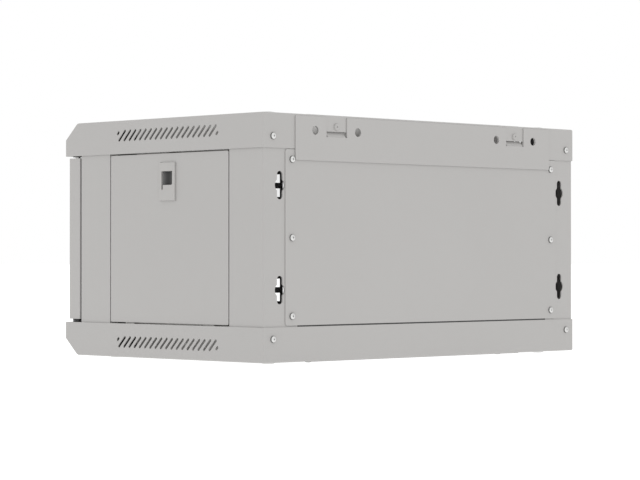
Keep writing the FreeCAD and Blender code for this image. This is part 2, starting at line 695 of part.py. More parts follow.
def door_frame():
    """Folded door tray with a glazed opening, lock hole and holes for the hinge pins."""
    t = DOOR_SHEET
    blank = box(-FRAME_X, FRAME_X, DOOR_FRONT, DOOR_REAR, DOOR_BOTTOM, DOOR_TOP)
    edges = [e for e in blank.Edges if near(e.CenterOfMass.y, DOOR_FRONT)]
    tray = blank.makeFillet(DOOR_BEND, edges)
    hollow = box(-FRAME_X + t, FRAME_X - t, DOOR_FRONT + t, DOOR_REAR + 1,
                 DOOR_BOTTOM + t, DOOR_TOP - t)
    tray = tray.cut(hollow)
    lips = [box(x, x + DOOR_LIP, DOOR_REAR - t, DOOR_REAR, DOOR_BOTTOM, DOOR_TOP)
            for x in (-FRAME_X, FRAME_X - DOOR_LIP)]
    tray = tray.fuse(lips).removeSplitter()
    window = box(-FRAME_X + STILE, FRAME_X - STILE, DOOR_FRONT - 1, DOOR_FRONT + t + 1,
                 DOOR_BOTTOM + DOOR_RAIL, DOOR_TOP - DOOR_RAIL)
    window = round_corners_y(window, WINDOW_CORNER)
    pins = rod(PIN_R + 0.5, DOOR_TOP - DOOR_BOTTOM + 2, V(HINGE_X, HINGE_Y, DOOR_BOTTOM - 1), Z_AXIS)
    lock = rod(LOCK_BODY_R, DOOR_SHEET + 2, V(LOCK_X, DOOR_FRONT - 1, MID_Z), Y_AXIS)
    return tray.cut(Part.makeCompound([window, pins, lock]))


def glass_edges():
    half = FRAME_X - STILE + GLASS_LAP
    return half, DOOR_BOTTOM + DOOR_RAIL - GLASS_LAP, DOOR_TOP - DOOR_RAIL + GLASS_LAP


def glass_front():
    return DOOR_FRONT + DOOR_SHEET + SEAL_THICK


def door_glass():
    half, low, high = glass_edges()
    front = glass_front()
    return round_corners_y(box(-half, half, front, front + GLASS_THICK, low, high), WINDOW_CORNER)


def glass_seal():
    """Rubber strip between the door's face and the glass."""
    half, low, high = glass_edges()
    front = DOOR_FRONT + DOOR_SHEET
    strip = box(-half, half, front, front + SEAL_THICK, low, high)
    inner = box(-half + SEAL_WIDTH, half - SEAL_WIDTH, front - 1, front + SEAL_THICK + 1,
                low + SEAL_WIDTH, high - SEAL_WIDTH)
    return strip.cut(inner)


def clip_places():
    """Middle of each clip on the glass edge, with the clip's turn about Y in degrees."""
    half, low, high = glass_edges()
    places = []
    for z in (low + CLIP_INSET, high - CLIP_INSET):
        places += [(half, z, 90), (-half, z, -90)]
    return places


def place_clip(shape, place):
    x, z, turn = place
    placed = shape.copy()
    placed.rotate(V(0, 0, 0), Y_AXIS, turn)
    placed.translate(V(x, 0, z))
    return placed


def glass_clips():
    """Stepped clips, each with a foot on the door's face and a lip over the glass."""
    face = DOOR_FRONT + DOOR_SHEET
    back = glass_front() + GLASS_THICK
    half = CLIP_WIDTH / 2
    low = SLIP
    outline = [(low, face), (low + CLIP_FOOT, face), (low + CLIP_FOOT, face + CLIP_SHEET),
               (low + CLIP_SHEET, face + CLIP_SHEET), (low + CLIP_SHEET, back + CLIP_SHEET),
               (-CLIP_LAP, back + CLIP_SHEET), (-CLIP_LAP, back), (low, back)]
    clip = prism([V(-half, y, z) for z, y in outline], V(2 * half, 0, 0))
    hole = rod(STUD_R, 4, V(0, face - 1, clip_stud_rise()), Y_AXIS)
    clip = clip.cut(hole)
    return Part.makeCompound([place_clip(clip, place) for place in clip_places()])


def clip_stud_rise():
    """Middle of the clip's foot, out from the edge of the glass."""
    return SLIP + (CLIP_FOOT + CLIP_SHEET) / 2


def glass_clip_nuts():
    """Weld studs on the door's face with the nuts that hold the clips."""
    face = DOOR_FRONT + DOOR_SHEET
    rise = clip_stud_rise()
    stud = rod(STUD_R, 6, V(0, face, rise), Y_AXIS)
    nut = rod(2 * STUD_R, 2.4, V(0, face + CLIP_SHEET, rise), Y_AXIS)
    fastener = stud.fuse(nut).removeSplitter()
    return Part.makeCompound([place_clip(fastener, place) for place in clip_places()])


# ---- hinge -----------------------------------------------------------------------------

def upper_hinge_bush():
    """Flanged bush in the nose's shelf, bored for the hinge pin."""
    shelf = TOP - SKIRT
    flange = rod(BUSH_FLANGE_R, BUSH_FLANGE, V(HINGE_X, HINGE_Y, shelf - BUSH_FLANGE), Z_AXIS)
    body = rod(BUSH_R, BUSH_LENGTH, V(HINGE_X, HINGE_Y, shelf), Z_AXIS)
    bore = rod(PIN_R + RUNNING, 2 * BUSH_LENGTH, V(HINGE_X, HINGE_Y, shelf - 2), Z_AXIS)
    return flange.fuse(body).removeSplitter().cut(bore)


def bracket_base():
    """Lowest level of the upper hinge bracket."""
    return DOOR_TOP - DOOR_SHEET - BRACKET_INSET - BRACKET_HEIGHT


def upper_hinge_bracket():
    """Bracket on the door's inner side with two ears that guide the sprung pin."""
    low = bracket_base()
    t = BRACKET_SHEET
    inner = FRAME_X - DOOR_SHEET
    y_low, y_high = HINGE_Y - BRACKET_INSET, HINGE_Y + BRACKET_INSET
    plate = box(inner - t, inner, y_low, y_high, low, low + BRACKET_HEIGHT)
    ears = [box(inner - BRACKET_EAR, inner, y_low, y_high, z, z + t)
            for z in (low, low + BRACKET_HEIGHT - t)]
    window = box(inner - t - 1, inner + 1, HINGE_Y - BRACKET_WINDOW / 2, HINGE_Y + BRACKET_WINDOW / 2,
                 low + t, low + BRACKET_HEIGHT - t)
    bracket = plate.cut(window).fuse(ears).removeSplitter()
    return bracket.cut(rod(PIN_R + RUNNING, BRACKET_HEIGHT + 2, V(HINGE_X, HINGE_Y, low - 1), Z_AXIS))


def collar_level():
    """Underside of the sprung pin's collar, at rest."""
    return bracket_base() + BRACKET_HEIGHT - BRACKET_SHEET - SLIP - COLLAR_H


def upper_hinge_pin():
    """Sprung hinge pin: shaft, collar for the spring and a bent arm to pull it down by."""
    tip = TOP - SKIRT + BUSH_LENGTH
    foot = bracket_base() - BRACKET_INSET - PIN_TRAVEL
    shaft = rod(PIN_R, tip - foot, V(HINGE_X, HINGE_Y, foot), Z_AXIS)
    end = [e for e in shaft.Edges if near(e.CenterOfMass.z, tip)]
    shaft = shaft.makeFillet(1.0, end)
    collar = rod(COLLAR_R, COLLAR_H, V(HINGE_X, HINGE_Y, collar_level()), Z_AXIS)
    elbow = Part.makeSphere(PIN_R, V(HINGE_X, HINGE_Y, foot))
    arm = rod(PIN_R, PIN_ARM, V(HINGE_X, HINGE_Y, foot), X_AXIS * -1)
    return shaft.fuse([collar, elbow, arm]).removeSplitter()


def hinge_spring():
    """Compression spring between the bracket's lower ear and the pin's collar."""
    low = bracket_base() + BRACKET_SHEET + SPRING_WIRE_R
    high = collar_level() - SPRING_WIRE_R
    pitch = (high - low) / SPRING_TURNS
    helix = Part.makeHelix(pitch, high - low, SPRING_R)
    start = Part.Circle(V(SPRING_R, 0, 0), Y_AXIS, SPRING_WIRE_R).toShape()
    coil = Part.Wire(helix).makePipeShell([Part.Wire(start)], True, True)
    coil.translate(V(HINGE_X, HINGE_Y, low))
    return coil


def lower_hinge_bush():
    return mirror_z(upper_hinge_bush())


def lower_hinge_pin():
    """Fixed hinge pin with the bracket that holds it in the bottom of the door."""
    low = DOOR_BOTTOM + DOOR_SHEET
    t = BRACKET_SHEET
    inner = FRAME_X - DOOR_SHEET
    y_low, y_high = HINGE_Y - BRACKET_INSET, HINGE_Y + BRACKET_INSET
    plate = box(inner - t, inner, y_low, y_high, low, low + BRACKET_EAR)
    ear = box(inner - BRACKET_EAR, inner, y_low, y_high, low, low + t)
    tip = BOTTOM + SKIRT - BUSH_LENGTH
    pin = rod(PIN_R, low + BRACKET_EAR - tip, V(HINGE_X, HINGE_Y, tip), Z_AXIS)
    ends = [e for e in pin.Edges if near(e.CenterOfMass.z, tip)]
    pin = pin.makeFillet(1.0, ends)
    return plate.fuse([ear, pin]).removeSplitter()


def hinge_washer():
    """Nylon washer that carries the door on the lower bush."""
    low = BOTTOM + SKIRT + BUSH_FLANGE + SLIP
    height = DOOR_BOTTOM - low
    ring = rod(BUSH_FLANGE_R, height, V(HINGE_X, HINGE_Y, low), Z_AXIS)
    return ring.cut(rod(PIN_R + RUNNING, height + 2, V(HINGE_X, HINGE_Y, low - 1), Z_AXIS))


# ---- lock ------------------------------------------------------------------------------

def cam_front():
    return FRAME_FRONT + FRAME_SHEET + CAM_GAP


def lock_barrel():
    """Lock housing through the door, with a round flange on the outside."""
    at = V(LOCK_X, DOOR_FRONT - LOCK_FLANGE, MID_Z)
    flange = rod(LOCK_FLANGE_R, LOCK_FLANGE, at, Y_AXIS)
    rim = [e for e in flange.Edges if near(e.CenterOfMass.y, at.y)]
    flange = flange.makeFillet(0.8, rim)
    length = cam_front() - SLIP - DOOR_FRONT
    body = rod(LOCK_BODY_R, length, V(LOCK_X, DOOR_FRONT, MID_Z), Y_AXIS)
    bore = rod(LOCK_PLUG_R + RUNNING, length + 10, V(LOCK_X, DOOR_FRONT - 5, MID_Z), Y_AXIS)
    return flange.fuse(body).removeSplitter().cut(bore)


def lock_nut():
    """Nut that clamps the lock's housing to the door."""
    nut = hex_prism(LOCK_NUT_AF, LOCK_NUT_H, V(0, 0, 0))
    nut.rotate(V(0, 0, 0), X_AXIS, -90)
    nut.translate(V(LOCK_X, DOOR_FRONT + DOOR_SHEET, MID_Z))
    return nut.cut(rod(LOCK_BODY_R, 2 * LOCK_NUT_H, V(LOCK_X, DOOR_FRONT, MID_Z), Y_AXIS))


def lock_plug():
    """Turning plug with its keyway."""
    front = DOOR_FRONT - LOCK_FLANGE - 0.4
    plug = rod(LOCK_PLUG_R, cam_front() - front, V(LOCK_X, front, MID_Z), Y_AXIS)
    width, height, depth = KEYWAY
    keyway = box(LOCK_X - width / 2, LOCK_X + width / 2, front - 1, front + depth,
                 MID_Z - height / 2, MID_Z + height / 2)
    return plug.cut(keyway).cut(cam_screw_hole())


def lock_cam():
    """Cam that hangs down when the door is unlocked and turns behind the side frame."""
    y = cam_front()
    half = CAM_WIDTH / 2
    arm = box(LOCK_X - half, LOCK_X + half, y, y + CAM_SHEET, MID_Z - CAM_REACH + half, MID_Z)
    ends = [rod(half, CAM_SHEET, V(LOCK_X, y, z), Y_AXIS)
            for z in (MID_Z, MID_Z - CAM_REACH + half)]
    return arm.fuse(ends).removeSplitter().cut(cam_screw_hole())


def cam_screw_hole():
    """Hole through the cam and into the plug for the cam's screw."""
    back = cam_front() + CAM_SHEET
    return rod(SCREW_R, SCREW_LENGTH, V(LOCK_X, back, MID_Z), Y_AXIS * -1)


def lock_cam_screw():
    return pan_screw(V(LOCK_X, cam_front() + CAM_SHEET, MID_Z), Y_AXIS)


def door_buffers():
    """Rubber buffers that the door's free edge closes on."""
    x = -(FRAME_X - DOOR_LIP + SLIP / 2)
    thickness = FRAME_FRONT - DOOR_REAR - SLIP
    return Part.makeCompound([rod(BUFFER_R, thickness, V(x, FRAME_FRONT, z), Y_AXIS * -1)
                              for z in (DOOR_BOTTOM + BUFFER_INSET, DOOR_TOP - BUFFER_INSET)])


# ---- earth stud ------------------------------------------------------------------------

def earth_stud():
    """Threaded stud on the floor with a washer and a nut for the earth lead."""
    y = latch_centre()[0]
    stud = rod(EARTH_R, EARTH_HEIGHT, V(EARTH_X, y, FLOOR), Z_AXIS)
    washer = rod(2 * EARTH_R, 1.2, V(EARTH_X, y, FLOOR), Z_AXIS)
    nut = hex_prism(EARTH_NUT_AF, EARTH_NUT_H, V(EARTH_X, y, FLOOR + 1.2))
    return stud.fuse([washer, nut]).removeSplitter()


# ---- all pieces ------------------------------------------------------------------------

def all_pieces():
    """Every sub-part by name."""
    pieces = {
        "top_cover": top_cover(),
        "bottom_cover": bottom_cover(),
        "back_panel": back_panel(),
        "back_panel_screws": back_panel_screws(),
        "cover_screws": cover_screws(),
        "rear_top_plate": rear_top_plate(),
        "top_plate_screws": top_plate_screws(),
        "roof_entry_plate": entry_plate(),
        "floor_entry_plate": mirror_z(entry_plate()),
        "roof_entry_screws": entry_screws(),
        "floor_entry_screws": mirror_z(entry_screws()),
        "upper_hinge_bush": upper_hinge_bush(),
        "lower_hinge_bush": lower_hinge_bush(),
        "door_buffers": door_buffers(),
        "earth_stud": earth_stud(),
        "door_frame": door_frame(),
        "door_glass": door_glass(),
        "glass_seal": glass_seal(),
        "glass_clips": glass_clips(),
        "glass_clip_nuts": glass_clip_nuts(),
        "upper_hinge_bracket": upper_hinge_bracket(),
        "upper_hinge_pin": upper_hinge_pin(),
        "hinge_spring": hinge_spring(),
        "lower_hinge_pin": lower_hinge_pin(),
        "hinge_washer": hinge_washer(),
        "lock_barrel": lock_barrel(),
        "lock_nut": lock_nut(),
        "lock_plug": lock_plug(),
        "lock_cam": lock_cam(),
        "lock_cam_screw": lock_cam_screw(),
    }
    handed = {
        "side_frame": right_side_frame(),
        "side_panel": right_side_panel(),
        "latch_plate": right_latch_plate(),
        "latch_slider": right_latch_slider(),
        "front_rail": right_rail(True),
        "rear_rail": right_rail(False),
        "front_rail_bolts": right_rail_bolts(True),
        "rear_rail_bolts": right_rail_bolts(False),
    }
    for name, shape in handed.items():
        pieces["right_" + name] = shape
        pieces["left_" + name] = mirror_x(shape)
    return pieces


def main():
    os.makedirs("parts", exist_ok=True)
    for name, shape in all_pieces().items():
        shape.exportStep("parts/" + name + ".step")
        box_size = shape.BoundBox
        print("%-22s solids %2d valid %s volume %10.1f  x %7.1f %7.1f  y %7.1f %7.1f  z %7.1f %7.1f" % (
            name, len(shape.Solids), shape.isValid(), shape.Volume, box_size.XMin, box_size.XMax,
            box_size.YMin, box_size.YMax, box_size.ZMin, box_size.ZMax))


main()
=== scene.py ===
import math

import bmesh
import bpy
from mathutils import Matrix, Vector


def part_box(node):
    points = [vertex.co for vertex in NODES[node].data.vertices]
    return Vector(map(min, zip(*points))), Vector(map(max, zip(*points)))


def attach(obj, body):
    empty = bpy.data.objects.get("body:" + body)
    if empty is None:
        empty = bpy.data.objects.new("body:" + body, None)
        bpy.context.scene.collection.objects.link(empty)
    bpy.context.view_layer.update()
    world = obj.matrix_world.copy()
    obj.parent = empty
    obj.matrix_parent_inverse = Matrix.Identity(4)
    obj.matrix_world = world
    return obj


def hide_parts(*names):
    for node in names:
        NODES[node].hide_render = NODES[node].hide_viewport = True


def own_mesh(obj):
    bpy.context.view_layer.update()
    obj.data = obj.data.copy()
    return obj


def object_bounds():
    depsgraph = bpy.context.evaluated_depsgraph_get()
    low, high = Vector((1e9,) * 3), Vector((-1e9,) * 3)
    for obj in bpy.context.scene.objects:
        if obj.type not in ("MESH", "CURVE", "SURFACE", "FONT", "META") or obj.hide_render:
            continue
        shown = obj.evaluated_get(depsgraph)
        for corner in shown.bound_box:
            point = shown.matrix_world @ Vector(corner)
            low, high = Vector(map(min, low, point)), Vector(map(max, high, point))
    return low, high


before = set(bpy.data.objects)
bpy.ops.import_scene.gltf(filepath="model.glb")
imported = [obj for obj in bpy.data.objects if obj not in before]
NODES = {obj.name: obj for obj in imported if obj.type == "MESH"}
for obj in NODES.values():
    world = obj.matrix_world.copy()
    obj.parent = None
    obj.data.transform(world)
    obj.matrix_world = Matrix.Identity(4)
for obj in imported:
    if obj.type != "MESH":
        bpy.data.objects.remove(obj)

bl_info = {
    "name": "Wall Cabinet Dressing",
    "version": (1, 0, 0),
    "blender": (4, 5, 0),
    "location": "3D View > Sidebar > Cabinet",
    "description": "Finishes, fasteners and studio stage for a small wall mount network cabinet",
    "category": "Object",
}

CAD_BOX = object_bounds()
MM = 0.001

SCREW_STEPS = 24                # sides of a pan screw
BOLT_STEPS = 32                 # sides of a rail bolt, and steps in a turn of the hinge spring
WIRE_STEPS = 10                 # sides of the spring's wire
NOISE_RANGE = (0.3, 0.7)        # where nearly all of a noise's values lie
RAIL_PEEL = 0.5                 # depth of the rails' orange peel against the case's
# Painted shade and light on a finger slide's groove, as gains on its colour, from the middle of
# the groove to the edges.
GROOVE_PAINTED_SHADE = ((0.0, 1.2), (0.25, 0.9), (0.39, 0.6), (0.5, 0.38), (0.62, 0.45), (0.71, 0.6),
                (0.79, 1.1), (0.86, 2.0), (0.93, 3.0))

PAINTED = ("top_cover", "bottom_cover", "right_side_frame", "left_side_frame", "back_panel",
           "rear_top_plate", "roof_entry_plate", "floor_entry_plate",
           "right_side_panel", "left_side_panel")
RAILS = ("right_front_rail", "left_front_rail", "right_rear_rail", "left_rear_rail")


# ---- settings ---------------------------------------------------------------------------

class CabinetPaint(bpy.types.PropertyGroup):
    case_colour: bpy.props.FloatVectorProperty(
        name="Case colour", description="Powder coat of covers, frames, panels and door",
        subtype="COLOR", size=3, min=0.0, max=1.0, default=(0.398, 0.390, 0.381))
    latch_colour: bpy.props.FloatVectorProperty(
        name="Latch colour", description="Moulded plastic of the side panel latches",
        subtype="COLOR", size=3, min=0.0, max=1.0, default=(0.396, 0.388, 0.377))
    # The slides' dark grey stands in for the shade deep in the latch pockets: painted shade.
    slider_colour: bpy.props.FloatVectorProperty(
        name="Slider colour", description="Moulded plastic of the latches' finger slides",
        subtype="COLOR", size=3, min=0.0, max=1.0, default=(0.085, 0.085, 0.085))
    rail_colour: bpy.props.FloatVectorProperty(
        name="Rail colour", description="Powder coat of the mounting rails",
        subtype="COLOR", size=3, min=0.0, max=1.0, default=(0.028, 0.028, 0.029))
    peel_depth: bpy.props.FloatProperty(
        name="Texture depth", description="Height of the powder coat's fine orange peel",
        subtype="DISTANCE", min=0.0, max=0.001, default=0.03 * MM)
    peel_size: bpy.props.FloatProperty(
        name="Texture size", description="Distance between the bumps of the powder coat",
        subtype="DISTANCE", min=0.0001, max=0.01, default=0.9 * MM)


class CabinetFasteners(bpy.types.PropertyGroup):
    head_radius: bpy.props.FloatProperty(
        name="Screw head radius", description="Radius of the pan heads",
        subtype="DISTANCE", min=0.001, max=0.01, default=4.0 * MM)
    shank_radius: bpy.props.FloatProperty(
        name="Screw shank radius", description="Radius over the thread",
        subtype="DISTANCE", min=0.0005, max=0.01, default=2.4 * MM)
    shank_length: bpy.props.FloatProperty(
        name="Screw length", description="Length under the head",
        subtype="DISTANCE", min=0.001, max=0.05, default=8.0 * MM)
    thread_pitch: bpy.props.FloatProperty(
        name="Thread pitch", description="Distance between threads",
        subtype="DISTANCE", min=0.0002, max=0.005, default=0.8 * MM)
    bolt_radius: bpy.props.FloatProperty(
        name="Rail bolt radius", description="Radius of the rail bolts' shanks",
        subtype="DISTANCE", min=0.001, max=0.02, default=4.0 * MM)
    bolt_head_height: bpy.props.FloatProperty(
        name="Rail bolt head height", description="Height of the domed heads",
        subtype="DISTANCE", min=0.001, max=0.01, default=2.5 * MM)
    nut_across_flats: bpy.props.FloatProperty(
        name="Nut size", description="Rail nuts, across flats",
        subtype="DISTANCE", min=0.001, max=0.05, default=13.0 * MM)
    nut_height: bpy.props.FloatProperty(
        name="Nut height", description="Height of the rail nuts",
        subtype="DISTANCE", min=0.001, max=0.05, default=6.5 * MM)
    seed: bpy.props.IntProperty(
        name="Seed", description="Varies how far each screw is turned", default=4)


class CabinetStage(bpy.types.PropertyGroup):
    lens: bpy.props.FloatProperty(
        name="Lens", description="Focal length on a 36 mm wide sensor, in millimetres",
        min=10.0, max=500.0, default=133.37)
    heading: bpy.props.FloatProperty(
        name="Heading", description="Direction the camera looks in, anticlockwise from +X",
        subtype="ANGLE", default=math.radians(225.424))
    tilt: bpy.props.FloatProperty(
        name="Tilt", description="Upward tilt of the camera",
        subtype="ANGLE", default=math.radians(0.424))
    place: bpy.props.FloatVectorProperty(
        name="Camera place", description="Camera position from the cabinet's lower rear middle",
        subtype="TRANSLATION", size=3, default=(2.0726, 1.9194, 0.1177))
    sky: bpy.props.FloatProperty(
        name="Sky brightness", description="Strength of the plain white surround",
        min=0.0, max=10.0, default=1.0)


SETTINGS = (CabinetPaint, CabinetFasteners, CabinetStage)


def node_span(node):
    """Lowest and highest corners of a CAD piece as vectors."""
    low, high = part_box(node)
    return Vector(low), Vector(high)


# ---- materials --------------------------------------------------------------------------

def new_material(name):
    """An empty node material with its Principled shader and Object coordinates."""
    material = bpy.data.materials.new(name)
    material.use_nodes = True
    tree = material.node_tree
    tree.nodes.clear()
    output = tree.nodes.new("ShaderNodeOutputMaterial")
    shader = tree.nodes.new("ShaderNodeBsdfPrincipled")
    coords = tree.nodes.new("ShaderNodeTexCoord")
    tree.links.new(shader.outputs["BSDF"], output.inputs["Surface"])
    return material, tree, shader, coords.outputs["Object"]


def noise(tree, coords, scale, detail, roughness=0.5):
    """Fractal noise; `scale` counts its coarsest cells in a metre."""
    node = tree.nodes.new("ShaderNodeTexNoise")
    node.inputs["Scale"].default_value = scale
    node.inputs["Detail"].default_value = detail
    node.inputs["Roughness"].default_value = roughness
    tree.links.new(coords, node.inputs["Vector"])
    return node.outputs["Fac"]


def remap(tree, value, old, new):
    """Maps a value from the range `old` onto the range `new`."""
    node = tree.nodes.new("ShaderNodeMapRange")
    for key, number in zip(("From Min", "From Max", "To Min", "To Max"), (*old, *new)):
        node.inputs[key].default_value = number
    tree.links.new(value, node.inputs["Value"])
    return node.outputs["Result"]


def spread(tree, value, low, high):
    """Maps a noise value onto low to high."""
    return remap(tree, value, NOISE_RANGE, (low, high))


def tint(tree, value, colour, change):
    """A colour that drifts darker and lighter by `change` with a noise value."""
    node = tree.nodes.new("ShaderNodeMix")
    node.data_type = "RGBA"
    node.inputs["A"].default_value = [c * (1 - change) for c in colour] + [1]
    node.inputs["B"].default_value = [min(1, c * (1 + change)) for c in colour] + [1]
    tree.links.new(spread(tree, value, 0, 1), node.inputs["Factor"])
    return node.outputs["Result"]


def bump(tree, shader, height, strength, distance):
    """Raises and sinks the surface with a value, by up to `distance`."""
    node = tree.nodes.new("ShaderNodeBump")
    node.inputs["Strength"].default_value = strength
    node.inputs["Distance"].default_value = distance
    tree.links.new(height, node.inputs["Height"])
    tree.links.new(node.outputs["Normal"], shader.inputs["Normal"])


def powder_coat(name, colour, size, depth, roughness, drift=0.012, shine=0.5):
    """Baked powder: fine orange peel, slightly uneven gloss and a faint slow drift of tone."""
    material, tree, shader, coords = new_material(name)
    slow = noise(tree, coords, scale=5.0, detail=2.0)
    peel = noise(tree, coords, scale=1.0 / size, detail=3.0, roughness=0.55)
    gloss = noise(tree, coords, scale=60.0, detail=3.0)
    uneven = 0.04
    tree.links.new(tint(tree, slow, colour, drift), shader.inputs["Base Color"])
    tree.links.new(spread(tree, gloss, roughness - uneven, roughness + uneven),
                   shader.inputs["Roughness"])
    shader.inputs["IOR"].default_value = 1.48
    shader.inputs["Specular IOR Level"].default_value = shine
    bump(tree, shader, peel, strength=0.6, distance=depth)
    return material


def plated_metal(name, colour, roughness):
    """Bright plating: clouded passivation over a finely drawn surface."""
    material, tree, shader, coords = new_material(name)
    cloud = noise(tree, coords, scale=260.0, detail=4.0, roughness=0.6)
    fine = noise(tree, coords, scale=2600.0, detail=3.0)
    tree.links.new(tint(tree, cloud, colour, 0.06), shader.inputs["Base Color"])
    tree.links.new(spread(tree, cloud, roughness - 0.06, roughness + 0.08),
                   shader.inputs["Roughness"])
    shader.inputs["Metallic"].default_value = 1.0
    bump(tree, shader, fine, strength=0.35, distance=0.02 * MM)
    return material


def moulded_plastic(name, colour, roughness):
    """Moulded plastic with a fine spark-eroded grain."""
    material, tree, shader, coords = new_material(name)
    grain = noise(tree, coords, scale=1400.0, detail=2.0)
    patch = noise(tree, coords, scale=40.0, detail=2.0)
    uneven = 0.03
    tree.links.new(tint(tree, patch, colour, 0.02), shader.inputs["Base Color"])
    tree.links.new(spread(tree, patch, roughness - uneven, roughness + uneven),
                   shader.inputs["Roughness"])
    shader.inputs["IOR"].default_value = 1.46
    bump(tree, shader, grain, strength=0.5, distance=0.03 * MM)
    return material


def slider_plastic(name, colour):
    """Dark grained plastic of a finger slide, with painted shade in bands between the middle and
    the edges of its groove and painted light at its edges.
    """
    material = moulded_plastic(name, colour, 0.38)
    tree = material.node_tree
    shader = tree.nodes["Principled BSDF"]
    coords = tree.nodes["Texture Coordinate"].outputs["Object"]
    split = tree.nodes.new("ShaderNodeSeparateXYZ")
    tree.links.new(coords, split.inputs["Vector"])
    low, high = node_span("right_latch_slider")
    across = remap(tree, split.outputs["Y"], (low.y, high.y), (-1.0, 1.0))
    from_middle = tree.nodes.new("ShaderNodeMath")
    from_middle.operation = "ABSOLUTE"
    tree.links.new(across, from_middle.inputs[0])
    # Painted shade and light: the colour darkens and lightens in bands across the groove.
    ramp = tree.nodes.new("ShaderNodeValToRGB")
    elements = ramp.color_ramp.elements
    elements.remove(elements[-1])
    for place, gain in GROOVE_PAINTED_SHADE:
        element = elements[0] if place == 0 else elements.new(place)
        element.color = [channel * gain for channel in colour] + [1]
    tree.links.new(from_middle.outputs[0], ramp.inputs["Fac"])
    tree.links.new(ramp.outputs["Color"], shader.inputs["Base Color"])
    return material


def soft_rubber(name):
    """Matt black rubber with a dusty bloom."""
    material, tree, shader, coords = new_material(name)
    bloom = noise(tree, coords, scale=90.0, detail=4.0, roughness=0.6)
    pores = noise(tree, coords, scale=2200.0, detail=2.0)
    tree.links.new(tint(tree, bloom, (0.018, 0.018, 0.018), 0.25), shader.inputs["Base Color"])
    tree.links.new(spread(tree, bloom, 0.72, 0.86), shader.inputs["Roughness"])
    bump(tree, shader, pores, strength=0.5, distance=0.04 * MM)
    return material


def grey_foam(name):
    """Grey sealing foam with open pores; its dark grey is painted shade in the joint it closes.
    """
    material, tree, shader, coords = new_material(name)
    cells = tree.nodes.new("ShaderNodeTexVoronoi")
    cells.inputs["Scale"].default_value = 1600.0
    tree.links.new(coords, cells.inputs["Vector"])
    cloud = noise(tree, coords, scale=120.0, detail=3.0)
    tree.links.new(tint(tree, cloud, (0.09, 0.09, 0.088), 0.15), shader.inputs["Base Color"])
    tree.links.new(spread(tree, cloud, 0.86, 0.95), shader.inputs["Roughness"])
    bump(tree, shader, cells.outputs["Distance"], strength=0.6, distance=0.1 * MM)
    return material


def float_glass(name):
    """Clear float glass: nearly all light goes through, with a faint green-grey film of gloss."""
    material, tree, shader, coords = new_material(name)
    wave = noise(tree, coords, scale=12.0, detail=1.0)
    tree.links.new(tint(tree, wave, (0.10, 0.13, 0.125), 0.05), shader.inputs["Base Color"])
    tree.links.new(spread(tree, wave, 0.012, 0.022), shader.inputs["Roughness"])
    shader.inputs["Alpha"].default_value = 0.08
    shader.inputs["IOR"].default_value = 1.5
    bump(tree, shader, wave, strength=0.05, distance=0.2 * MM)
    return material


def studio_paper(name):
    """White paper of the studio floor, bright enough to carry no shadow."""
    material, tree, shader, coords = new_material(name)
    fibre = noise(tree, coords, scale=30.0, detail=2.0)
    tree.links.new(tint(tree, fibre, (0.20, 0.20, 0.20), 0.02), shader.inputs["Base Color"])
    shader.inputs["Roughness"].default_value = 0.9
    shader.inputs["Emission Color"].default_value = (1, 1, 1, 1)
    shader.inputs["Emission Strength"].default_value = 1.0
    return material


# How each finish is made, from its name and the paint settings.
FINISHES = {
    "case_powder_coat": lambda name, paint: powder_coat(
        name, tuple(paint.case_colour), paint.peel_size, paint.peel_depth, roughness=0.52),
    "rail_powder_coat": lambda name, paint: powder_coat(
        name, tuple(paint.rail_colour), paint.peel_size, paint.peel_depth * RAIL_PEEL,
        roughness=0.6, drift=0.1, shine=0.25),
    "latch_plastic": lambda name, paint: moulded_plastic(name, tuple(paint.latch_colour), 0.45),
    "slider_plastic": lambda name, paint: slider_plastic(name, tuple(paint.slider_colour)),
    "black_nylon": lambda name, paint: moulded_plastic(name, (0.013, 0.013, 0.014), 0.38),
    "bright_zinc": lambda name, paint: plated_metal(name, (0.64, 0.64, 0.63), 0.3),
    # Dark zinc of the screw heads' lower rims is painted shade round the heads' feet.
    "screw_rim": lambda name, paint: plated_metal(name, (0.22, 0.22, 0.215), 0.5),
    "dull_zinc": lambda name, paint: plated_metal(name, (0.66, 0.66, 0.64), 0.42),
    "spring_steel": lambda name, paint: plated_metal(name, (0.46, 0.46, 0.45), 0.25),
    "nickel_lock": lambda name, paint: plated_metal(name, (0.74, 0.72, 0.69), 0.16),
    "black_rubber": lambda name, paint: soft_rubber(name),
    "grey_foam": lambda name, paint: grey_foam(name),
    "door_glass": lambda name, paint: float_glass(name),
    "studio_paper": lambda name, paint: studio_paper(name),
}
MATERIALS = {}


def material_for(name):
    """The named finish, made once."""
    if name not in MATERIALS:
        MATERIALS[name] = FINISHES[name](name, bpy.context.scene.cabinet_paint)
    return MATERIALS[name]


def finish_nodes(names, finish):
    """Gives these CAD pieces a finish."""
    for name in names:
        for material_slot in NODES[name].material_slots:
            material_slot.material = material_for(finish)


# ---- mesh making ------------------------------------------------------------------------

def mesh_object(name, build):
    """A new object from a bmesh that `build` fills in."""
    shape = bmesh.new()
    build(shape)
    bmesh.ops.recalc_face_normals(shape, faces=shape.faces)
    mesh = bpy.data.meshes.new(name)
    shape.to_mesh(mesh)
    shape.free()
    piece = bpy.data.objects.new(name, mesh)
    bpy.context.collection.objects.link(piece)
    return piece


def lathe(shape, profile, steps):
    """Turns a profile of (radius, height) round Z into a closed solid."""
    rings = []
    for radius, height in profile:
        if radius == 0:
            rings.append([shape.verts.new((0, 0, height))])
            continue
        rings.append([shape.verts.new((radius * math.cos(2 * math.pi * k / steps),
                                       radius * math.sin(2 * math.pi * k / steps), height))
                      for k in range(steps)])
    for low, high in zip(rings, rings[1:]):
        for k in range(steps):
            after = (k + 1) % steps
            corners = [low[k % len(low)], low[after % len(low)],
                       high[after % len(high)], high[k % len(high)]]
            unique = list(dict.fromkeys(corners))
            shape.faces.new(unique)


